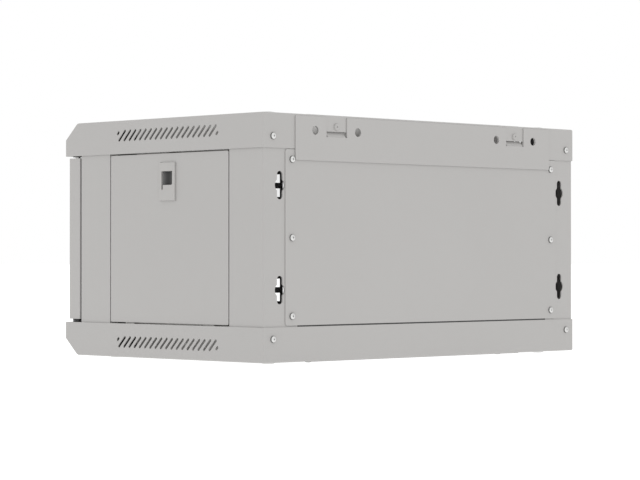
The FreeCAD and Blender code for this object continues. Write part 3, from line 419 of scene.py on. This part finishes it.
def dome(radius, height, edge, steps=6):
    """Profile of a head from its seat to its crown: a rounded edge under a shallow dome."""
    fullness = 0.6
    points = [(radius, 0), (radius, height * edge)]
    for k in range(1, steps):
        angle = math.pi / 2 * k / steps
        points.append((radius * math.cos(angle) ** fullness,
                       height * edge + height * (1 - edge) * math.sin(angle)))
    return points + [(0, height)]


def thread(radius, pitch, length):
    """Profile of a threaded shank from its narrow tip up to the head's seat."""
    depth = 0.55 * pitch
    rise = 0.4 * pitch
    points = [(0, -length), (radius - 2 * depth, -length)]
    turns = int(length / pitch) - 1
    for k in range(turns):
        low = -length + (k + 0.5) * pitch
        points += [(radius - depth, low), (radius, low + rise)]
    return points + [(radius - depth, 0)]


def cut_away(piece, cutter):
    """Cuts one object out of another and throws the cutter away."""
    modifier = piece.modifiers.new("cut", "BOOLEAN")
    modifier.operation = "DIFFERENCE"
    modifier.solver = "EXACT"
    modifier.object = cutter
    graph = bpy.context.evaluated_depsgraph_get()
    cut = bpy.data.meshes.new_from_object(piece.evaluated_get(graph))
    piece.modifiers.clear()
    piece.data = cut
    bpy.data.objects.remove(cutter)


def smooth_by_angle(piece, degrees=32.0):
    """Smooth shading that keeps the edges sharper than an angle."""
    piece.data.shade_smooth()
    piece.data.set_sharp_from_angle(angle=math.radians(degrees))


def turn_outwards(piece):
    """Recalculates the normals of a closed mesh."""
    shape = bmesh.new()
    shape.from_mesh(piece.data)
    bmesh.ops.recalc_face_normals(shape, faces=shape.faces)
    shape.to_mesh(piece.data)
    shape.free()


def pan_screw(head_height):
    """Pan head screw along Z with a cross recess and a threaded shank."""
    sizes = bpy.context.scene.cabinet_fasteners
    radius = sizes.head_radius
    crown_radius = radius * 0.93

    def body(shape):
        profile = thread(sizes.shank_radius, sizes.thread_pitch, sizes.shank_length)
        lathe(shape, profile + dome(crown_radius, head_height, 0.4), SCREW_STEPS)
    screw = mesh_object("pan_screw", body)
    for turn in (0.0, math.pi / 2):
        cut_away(screw, recess_blade(radius, head_height, turn))
    smooth_by_angle(screw)
    return screw


def recess_blade(radius, head_height, turn):
    """One arm of the cross recess: a flattened four-sided cone that narrows downwards."""
    flatness = 0.24
    depth = head_height * 0.4
    place = Matrix.Translation((0, 0, head_height)) @ Matrix.Rotation(turn, 4, "Z")

    def blade(shape):
        cone = bmesh.ops.create_cone(shape, cap_ends=True, segments=4, radius1=radius * 0.3,
                                     radius2=radius * 0.6, depth=2 * depth,
                                     matrix=Matrix.Rotation(math.pi / 4, 4, "Z"))
        for vert in cone["verts"]:
            vert.co = place @ Vector((vert.co.x, vert.co.y * flatness, vert.co.z))
    return mesh_object("recess_blade", blade)


def screw_rim(head_height):
    """Lower rim of a pan head, along Z like its screw, which takes a dark finish as painted shade
    round the head's foot.
    """
    radius = bpy.context.scene.cabinet_fasteners.head_radius
    top = head_height * 0.62

    def band(shape):
        profile = [(0, 0), (radius, 0), (radius * 0.99, head_height * 0.3),
                   (radius * 0.9, top), (0, top)]
        lathe(shape, profile, SCREW_STEPS)
    rim = mesh_object("screw_rim", band)
    smooth_by_angle(rim)
    return rim


def coach_bolt(nut_level):
    """Domed bolt along Z with its hexagon nut `nut_level` below the head's seat."""
    sizes = bpy.context.scene.cabinet_fasteners
    nut_low = -nut_level - sizes.nut_height
    tip_past_nut = 2 * MM

    def body(shape):
        shank = thread(sizes.bolt_radius, 2 * sizes.thread_pitch, tip_past_nut - nut_low)
        head = dome(2 * sizes.bolt_radius, sizes.bolt_head_height, 0.15, 8)
        lathe(shape, shank + head, BOLT_STEPS)
        add_nut(shape, nut_low)
    bolt = mesh_object("coach_bolt", body)
    smooth_by_angle(bolt)
    return bolt


def add_nut(shape, low):
    """Adds a hexagon nut with eased corners round Z, with its lower face at `low`."""
    sizes = bpy.context.scene.cabinet_fasteners
    corner = sizes.nut_across_flats / math.sqrt(3)
    easing = (corner - sizes.nut_across_flats / 2) * 0.18
    nut = bmesh.new()
    bmesh.ops.create_cone(nut, cap_ends=True, segments=6, radius1=corner, radius2=corner,
                          depth=sizes.nut_height,
                          matrix=Matrix.Translation((0, 0, low + sizes.nut_height / 2)))
    upright = [edge for edge in nut.edges
               if abs(edge.verts[0].co.z - edge.verts[1].co.z) > sizes.nut_height / 2]
    bmesh.ops.bevel(nut, geom=upright, offset=easing, segments=1, affect="EDGES")
    spare = bpy.data.meshes.new("nut")
    nut.to_mesh(spare)
    nut.free()
    shape.from_mesh(spare)
    bpy.data.meshes.remove(spare)


# ---- repeats by geometry nodes ----------------------------------------------------------

def new_tree(name, inputs):
    """A geometry node tree with these inputs beside its geometry and its finish."""
    tree = bpy.data.node_groups.new(name, "GeometryNodeTree")
    face = tree.interface
    face.new_socket("Geometry", in_out="INPUT", socket_type="NodeSocketGeometry")
    for title, kind in inputs:
        face.new_socket(title, in_out="INPUT", socket_type="NodeSocket" + kind)
    face.new_socket("Finish", in_out="INPUT", socket_type="NodeSocketMaterial")
    face.new_socket("Geometry", in_out="OUTPUT", socket_type="NodeSocketGeometry")
    return tree, tree.nodes.new("NodeGroupInput"), tree.links.new


def close_tree(tree, entry, geometry):
    """Ends a tree in Realize Instances and Set Material."""
    real = tree.nodes.new("GeometryNodeRealizeInstances")
    coat = tree.nodes.new("GeometryNodeSetMaterial")
    result = tree.nodes.new("NodeGroupOutput")
    tree.links.new(geometry, real.inputs["Geometry"])
    tree.links.new(real.outputs["Geometry"], coat.inputs["Geometry"])
    tree.links.new(entry.outputs["Finish"], coat.inputs["Material"])
    tree.links.new(coat.outputs["Geometry"], result.inputs["Geometry"])
    return tree


def fastener_tree():
    """Node tree that sets a copy of one fastener on every point, each turned a little."""
    tree, entry, link = new_tree("Set fasteners on points", (
        ("Fastener", "Object"), ("Direction", "Vector"), ("Seed", "Int")))
    fetch = tree.nodes.new("GeometryNodeObjectInfo")
    aim = tree.nodes.new("FunctionNodeAlignRotationToVector")
    aim.axis = "Z"
    place = tree.nodes.new("GeometryNodeInstanceOnPoints")
    chance = tree.nodes.new("FunctionNodeRandomValue")
    chance.data_type = "FLOAT_VECTOR"
    chance.inputs[0].default_value = (0, 0, 0)
    chance.inputs[1].default_value = (0, 0, math.pi)
    turn = tree.nodes.new("GeometryNodeRotateInstances")
    turn.inputs["Local Space"].default_value = True
    link(entry.outputs["Fastener"], fetch.inputs["Object"])
    link(entry.outputs["Direction"], aim.inputs["Vector"])
    link(entry.outputs["Geometry"], place.inputs["Points"])
    link(fetch.outputs["Geometry"], place.inputs["Instance"])
    link(aim.outputs["Rotation"], place.inputs["Rotation"])
    link(entry.outputs["Seed"], chance.inputs["Seed"])
    link(chance.outputs[0], turn.inputs["Rotation"])
    link(place.outputs["Instances"], turn.inputs["Instances"])
    return close_tree(tree, entry, turn.outputs["Instances"])


def coil_tree():
    """Node tree of a compression spring along Z: open turns between two closed end turns."""
    tree, entry, link = new_tree("Coil spring", [
        (title, "Float") for title in ("Coil radius", "Wire radius", "Open height",
                                       "End height", "Open turns")])
    size = entry.outputs

    def coil(height, level, turns=None):
        """A spiral that starts on a level; one turn where none are given."""
        spiral = tree.nodes.new("GeometryNodeCurveSpiral")
        spiral.inputs["Resolution"].default_value = BOLT_STEPS
        link(size["Coil radius"], spiral.inputs["Start Radius"])
        link(size["Coil radius"], spiral.inputs["End Radius"])
        link(height, spiral.inputs["Height"])
        spiral.inputs["Rotations"].default_value = 1.0
        if turns:
            link(turns, spiral.inputs["Rotations"])
        place = tree.nodes.new("ShaderNodeCombineXYZ")
        if level:
            link(level, place.inputs["Z"])
        lift = tree.nodes.new("GeometryNodeTransform")
        link(spiral.outputs["Curve"], lift.inputs["Geometry"])
        link(place.outputs["Vector"], lift.inputs["Translation"])
        return lift.outputs["Geometry"]

    upper_end = tree.nodes.new("ShaderNodeMath")
    link(size["End height"], upper_end.inputs[0])
    link(size["Open height"], upper_end.inputs[1])
    gather = tree.nodes.new("GeometryNodeJoinGeometry")
    for curve in (coil(size["End height"], None),
                  coil(size["Open height"], size["End height"], size["Open turns"]),
                  coil(size["End height"], upper_end.outputs["Value"])):
        link(curve, gather.inputs["Geometry"])
    section = tree.nodes.new("GeometryNodeCurvePrimitiveCircle")
    section.inputs["Resolution"].default_value = WIRE_STEPS
    link(size["Wire radius"], section.inputs["Radius"])
    skin = tree.nodes.new("GeometryNodeCurveToMesh")
    skin.inputs["Fill Caps"].default_value = True
    link(gather.outputs["Geometry"], skin.inputs["Curve"])
    link(section.outputs["Curve"], skin.inputs["Profile Curve"])
    return close_tree(tree, entry, skin.outputs["Mesh"])


def baked(name, carrier, tree, values):
    """The plain mesh that a node tree makes from a carrier, which is thrown away."""
    modifier = carrier.modifiers.new("nodes", "NODES")
    modifier.node_group = tree
    for item in tree.interface.items_tree:
        if item.item_type == "SOCKET" and item.in_out == "INPUT" and item.name in values:
            modifier[item.identifier] = values[item.name]
    carrier.update_tag()
    graph = bpy.context.evaluated_depsgraph_get()
    mesh = bpy.data.meshes.new_from_object(carrier.evaluated_get(graph))
    mesh.name = name
    mesh.materials.clear()
    mesh.materials.append(values["Finish"])
    piece = bpy.data.objects.new(name, mesh)
    bpy.context.collection.objects.link(piece)
    bpy.data.objects.remove(carrier)
    return piece


TREES = {}


def set_fasteners(name, fastener, points, direction, finish):
    """A plain mesh of one fastener repeated on the points, made by the node tree."""
    if "fasteners" not in TREES:
        TREES["fasteners"] = fastener_tree()

    def marks(shape):
        for point in points:
            shape.verts.new(point)
    values = {"Fastener": fastener, "Direction": direction,
              "Seed": bpy.context.scene.cabinet_fasteners.seed, "Finish": material_for(finish)}
    return baked(name, mesh_object(name + "_points", marks), TREES["fasteners"], values)


def join_pieces(name, parts):
    """One piece made of several of one finish each, which are thrown away."""
    shape = bmesh.new()
    mesh = bpy.data.meshes.new(name)
    for part in parts:
        finish = part.data.materials[0]
        if finish.name not in mesh.materials:
            mesh.materials.append(finish)
        start = len(shape.faces)
        shape.from_mesh(part.data)
        shape.faces.ensure_lookup_table()
        for face in shape.faces[start:]:
            face.material_index = mesh.materials.find(finish.name)
        bpy.data.objects.remove(part)
    shape.to_mesh(mesh)
    shape.free()
    piece = bpy.data.objects.new(name, mesh)
    bpy.context.collection.objects.link(piece)
    return piece


# ---- operators --------------------------------------------------------------------------

class CABINET_OT_finish_case(bpy.types.Operator):
    """Paint the covers, side frames, panels and plates"""
    bl_idname = "cabinet.finish_case"
    bl_label = "Case paint"

    def execute(self, context):
        finish_nodes(PAINTED, "case_powder_coat")
        finish_nodes(RAILS, "rail_powder_coat")
        finish_nodes(("earth_stud",), "dull_zinc")
        return {"FINISHED"}


class CABINET_OT_add_back_seal(bpy.types.Operator):
    """Stick a foam strip behind the joint of the back panel and the bottom cover, its dark grey
    being painted shade in that joint
    """
    bl_idname = "cabinet.add_back_seal"
    bl_label = "Back seal"

    thickness: bpy.props.FloatProperty(
        name="Strip thickness", description="Foam strip, front to rear",
        subtype="DISTANCE", default=2.0 * MM)
    overlap: bpy.props.FloatProperty(
        name="Strip overlap", description="How far it reaches over each side of the joint",
        subtype="DISTANCE", default=3.0 * MM)

    def execute(self, context):
        panel_low = node_span("back_panel")[0]
        cover_top = node_span("bottom_cover")[1].z
        frame_edge = node_span("right_side_frame")[0].x
        side_air = self.thickness * 0.2
        panel_air = self.thickness * 0.02
        rounding = self.thickness * 0.3
        size = Vector((2 * (frame_edge - side_air), self.thickness,
                       panel_low.z - cover_top + 2 * self.overlap))
        place = Vector((0, panel_low.y - panel_air - self.thickness / 2,
                        (panel_low.z + cover_top) / 2))

        def strip(shape):
            made = bmesh.ops.create_cube(shape, size=1.0)
            for vert in made["verts"]:
                vert.co = Vector((a * b for a, b in zip(vert.co, size))) + place
            bmesh.ops.bevel(shape, geom=shape.edges[:], offset=rounding, segments=2,
                            profile=0.6, affect="EDGES")
        seal = mesh_object("back_panel_seal", strip)
        smooth_by_angle(seal)
        # Dark grey foam: painted shade in the joint as seen from outside.
        seal.data.materials.append(material_for("grey_foam"))
        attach(seal, "cabinet")
        return {"FINISHED"}


class CABINET_OT_finish_door(bpy.types.Operator):
    """Finish the door, its glass, lock and hinge parts"""
    bl_idname = "cabinet.finish_door"
    bl_label = "Door"

    def execute(self, context):
        finish_nodes(("door_frame",), "case_powder_coat")
        finish_nodes(("door_glass",), "door_glass")
        finish_nodes(("glass_seal", "door_buffers"), "black_rubber")
        finish_nodes(("glass_clips", "glass_clip_nuts", "upper_hinge_pin", "lower_hinge_pin"),
                     "dull_zinc")
        finish_nodes(("upper_hinge_bracket",), "rail_powder_coat")
        finish_nodes(("upper_hinge_bush", "lower_hinge_bush", "hinge_washer"), "black_nylon")
        finish_nodes(("lock_barrel", "lock_nut", "lock_plug", "lock_cam"), "nickel_lock")
        return {"FINISHED"}


class CABINET_OT_add_hinge_spring(bpy.types.Operator):
    """Wind the compression spring of the upper hinge pin"""
    bl_idname = "cabinet.add_hinge_spring"
    bl_label = "Hinge spring"

    wire_radius: bpy.props.FloatProperty(
        name="Wire radius", description="Radius of the spring wire",
        subtype="DISTANCE", default=0.35 * MM)
    open_turns: bpy.props.FloatProperty(
        name="Open turns", description="Turns between the two closed ends", default=4.5)

    def execute(self, context):
        low, high = node_span("hinge_spring")
        wire = self.wire_radius
        height = high.z - low.z
        end_height = 2.2 * wire
        values = {"Coil radius": min(high.x - low.x, high.y - low.y) / 2 - wire,
                  "Wire radius": wire, "Open turns": self.open_turns, "End height": end_height,
                  "Open height": height - 2 * wire - 2 * end_height,
                  "Finish": material_for("spring_steel")}
        carrier = mesh_object("hinge_spring_carrier", lambda shape: shape.verts.new((0, 0, 0)))
        piece = baked("hinge_spring_coil", carrier, coil_tree(), values)
        foot = Vector(((low.x + high.x) / 2, (low.y + high.y) / 2, low.z))
        piece.data.transform(Matrix.Translation(foot + Vector((0, 0, wire))))
        turn_outwards(piece)
        smooth_by_angle(piece, 50.0)
        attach(piece, "door")
        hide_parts("hinge_spring")
        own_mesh(piece)
        return {"FINISHED"}


class CABINET_OT_finish_latches(bpy.types.Operator):
    """Finish the side panel latches"""
    bl_idname = "cabinet.finish_latches"
    bl_label = "Side latches"

    def execute(self, context):
        for side in ("right", "left"):
            finish_nodes((side + "_latch_plate",), "latch_plastic")
            finish_nodes((side + "_latch_slider",), "slider_plastic")
        return {"FINISHED"}


class CABINET_OT_add_screws(bpy.types.Operator):
    """Set cross recess pan screws in the covers, back panel, entry plates and lock cam"""
    bl_idname = "cabinet.add_screws"
    bl_label = "Pan screws"

    tall_head: bpy.props.FloatProperty(
        name="Tall head", description="Head height of the screws in covers and back panel",
        subtype="DISTANCE", default=2.4 * MM)
    low_head: bpy.props.FloatProperty(
        name="Low head", description="Head height of the screws in the entry plates",
        subtype="DISTANCE", default=2.0 * MM)

    def execute(self, context):
        tall = (pan_screw(self.tall_head), screw_rim(self.tall_head))
        low = (pan_screw(self.low_head), screw_rim(self.low_head))
        # Bright zinc for the heads, and dark zinc on their rims as painted shade.
        zinc = ("bright_zinc", "screw_rim")
        groups = (
            ("back_panel_screws", 3, "cabinet", "zinc", zinc),
            ("cover_screws", 2, "cabinet", "zinc", zinc),
            ("top_plate_screws", 1, "cabinet", "case_paint", ("case_powder_coat",) * 2),
            ("lock_cam_screw", 1, "door_lock", "zinc", zinc),
        )
        for node, rows, body, paint_slot, finishes in groups:
            points = self.wall_points(node, self.tall_head, rows)
            self.place(node, tall, points, (0, 1, 0), body, paint_slot, finishes)
        for node, up in (("roof_entry_screws", 1), ("floor_entry_screws", -1)):
            points = self.plate_points(node, up)
            self.place(node, low, points, (0, 0, up), "cabinet", "zinc", zinc)
        for part in tall + low:
            bpy.data.objects.remove(part)
        return {"FINISHED"}

    def wall_points(self, node, head, rows):
        """Screw seats on an upright wall: a column at each end with `rows` screws."""
        low, high = node_span(node)
        radius = bpy.context.scene.cabinet_fasteners.head_radius
        columns = sorted({round(low.x + radius, 6), round(high.x - radius, 6)})
        if rows == 1:
            levels = [(low.z + high.z) / 2]
        else:
            span = high.z - low.z - 2 * radius
            levels = [low.z + radius + span * k / (rows - 1) for k in range(rows)]
        return [(x, high.y - head, z) for x in columns for z in levels]

    def plate_points(self, node, up):
        """Screw seats at the four corners of a plate that faces up or, with -1, down."""
        low, high = node_span(node)
        radius = bpy.context.scene.cabinet_fasteners.head_radius
        seat = high.z - self.low_head if up > 0 else low.z + self.low_head
        return [(x, y, seat) for x in (low.x + radius, high.x - radius)
                for y in (low.y + radius, high.y - radius)]

    def place(self, node, screw_parts, points, direction, body, paint_slot, finishes):
        """Sets the screws on their points and lets them stand for the CAD node."""
        parts = [set_fasteners(node + "_" + part.name, part, points, direction, finish)
                 for part, finish in zip(screw_parts, finishes)]
        piece = join_pieces(node + "_dressed", parts)
        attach(piece, body)
        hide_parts(node)


class CABINET_OT_add_rail_bolts(bpy.types.Operator):
    """Set domed coach bolts with nuts through roof and floor at each rail"""
    bl_idname = "cabinet.add_rail_bolts"
    bl_label = "Rail bolts"

    rail_sheet: bpy.props.FloatProperty(
        name="Rail sheet", description="Thickness of the rails' feet",
        subtype="DISTANCE", default=2.0 * MM)

    def execute(self, context):
        head = context.scene.cabinet_fasteners.bolt_head_height
        for rail in RAILS:
            node = rail + "_bolts"
            low, high = node_span(node)
            x, y = (low.x + high.x) / 2, (low.y + high.y) / 2
            rail_top = node_span(rail)[1].z - self.rail_sheet
            seat = high.z - head
            bolt = coach_bolt(seat - rail_top)
            ends = [set_fasteners(node + end, bolt, [(x, y, level)], (0, 0, up), "bright_zinc")
                    for end, level, up in (("_top", seat, 1), ("_bottom", low.z + head, -1))]
            piece = join_pieces(node + "_dressed", ends)
            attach(piece, rail)
            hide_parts(node)
            bpy.data.objects.remove(bolt)
        return {"FINISHED"}


# Name, place and size in metres, and watts of the lamps.
SOFT_LAMPS = (("lamp_wall_side", (-0.3, 2.6, 1.5), 1.8, 3.5),
              ("lamp_right", (2.6, 0.2, 1.6), 1.8, 2.5),
              ("lamp_overhead", (0.3, 0.3, 2.6), 2.6, 7.0))


class CABINET_OT_set_stage(bpy.types.Operator):
    """Lay the floor, hang the lamps and aim the camera"""
    bl_idname = "cabinet.set_stage"
    bl_label = "Studio"

    floor_size: bpy.props.FloatProperty(
        name="Floor size", description="Length of the floor's sides",
        subtype="DISTANCE", default=60.0)

    def execute(self, context):
        self.lay_floor()
        self.light(context)
        self.aim_camera(context)
        context.scene.view_settings.view_transform = "Standard"
        return {"FINISHED"}

    def lay_floor(self):
        """A large white sheet under the cabinet."""
        def sheet(shape):
            bmesh.ops.create_grid(shape, x_segments=1, y_segments=1, size=self.floor_size / 2)
        floor = mesh_object("studio_floor", sheet)
        floor.data.materials.append(material_for("studio_paper"))

    def light(self, context):
        """A white surround and three large soft lamps that face the cabinet."""
        world = bpy.data.worlds.new("studio_surround")
        world.use_nodes = True
        backdrop = world.node_tree.nodes["Background"]
        backdrop.inputs["Color"].default_value = (1, 1, 1, 1)
        backdrop.inputs["Strength"].default_value = context.scene.cabinet_stage.sky
        context.scene.world = world
        target = Vector((0, 0, 0.14))
        for name, place, size, power in SOFT_LAMPS:
            data = bpy.data.lights.new(name, "AREA")
            data.shape = "SQUARE"
            data.size = size
            data.energy = power
            lamp = bpy.data.objects.new(name, data)
            lamp.location = place
            lamp.rotation_euler = (target - Vector(place)).to_track_quat("-Z", "Y").to_euler()
            context.collection.objects.link(lamp)
        self.light_inside(context)

    def light_inside(self, context):
        """A weak lamp in the equipment space, so that the vents and holes don't go black."""
        data = bpy.data.lights.new("lamp_inside", "POINT")
        data.energy = 0.5
        data.shadow_soft_size = 0.05
        lamp = bpy.data.objects.new("lamp_inside", data)
        low, high = CAD_BOX
        lamp.location = [(a + b) / 2 for a, b in zip(low, high)]
        lamp.visible_camera = False
        lamp.visible_glossy = False
        context.collection.objects.link(lamp)

    def aim_camera(self, context):
        """Places the camera by the cabinet's lower rear middle."""
        stage = context.scene.cabinet_stage
        low, high = node_span("bottom_cover")
        data = bpy.data.cameras.new("camera")
        data.sensor_width = 36.0
        data.lens = stage.lens
        camera = bpy.data.objects.new("camera", data)
        camera.location = Vector((0, high.y, low.z)) + Vector(stage.place)
        level = math.radians(90)
        camera.rotation_euler = (level + stage.tilt, 0, stage.heading - level)
        context.collection.objects.link(camera)
        context.scene.camera = camera


class CABINET_PT_panel(bpy.types.Panel):
    """Buttons and sizes of the cabinet's dressing"""
    bl_label = "Wall Cabinet"
    bl_idname = "CABINET_PT_panel"
    bl_space_type = "VIEW_3D"
    bl_region_type = "UI"
    bl_category = "Cabinet"

    def draw(self, context):
        scene = context.scene
        for group, title in ((scene.cabinet_paint, "Paint"),
                             (scene.cabinet_fasteners, "Fasteners"),
                             (scene.cabinet_stage, "Stage")):
            section = self.layout.box()
            section.label(text=title)
            for key in group.__annotations__:
                section.prop(group, key)
        for operator in OPERATORS:
            self.layout.operator(operator.bl_idname)


OPERATORS = (CABINET_OT_finish_case, CABINET_OT_add_back_seal, CABINET_OT_finish_door,
             CABINET_OT_add_hinge_spring, CABINET_OT_finish_latches, CABINET_OT_add_screws,
             CABINET_OT_add_rail_bolts, CABINET_OT_set_stage)


def register():
    for kind in SETTINGS + OPERATORS + (CABINET_PT_panel,):
        bpy.utils.register_class(kind)
    bpy.types.Scene.cabinet_paint = bpy.props.PointerProperty(type=CabinetPaint)
    bpy.types.Scene.cabinet_fasteners = bpy.props.PointerProperty(type=CabinetFasteners)
    bpy.types.Scene.cabinet_stage = bpy.props.PointerProperty(type=CabinetStage)


def unregister():
    del bpy.types.Scene.cabinet_stage
    del bpy.types.Scene.cabinet_fasteners
    del bpy.types.Scene.cabinet_paint
    for kind in reversed(SETTINGS + OPERATORS + (CABINET_PT_panel,)):
        bpy.utils.unregister_class(kind)


def main():
    register()
    bpy.ops.cabinet.set_stage()
    bpy.ops.cabinet.finish_case()
    bpy.ops.cabinet.add_back_seal()
    bpy.ops.cabinet.finish_door()
    bpy.ops.cabinet.add_hinge_spring()
    bpy.ops.cabinet.finish_latches()
    bpy.ops.cabinet.add_screws()
    bpy.ops.cabinet.add_rail_bolts()


if __name__ == "__main__":
    main()
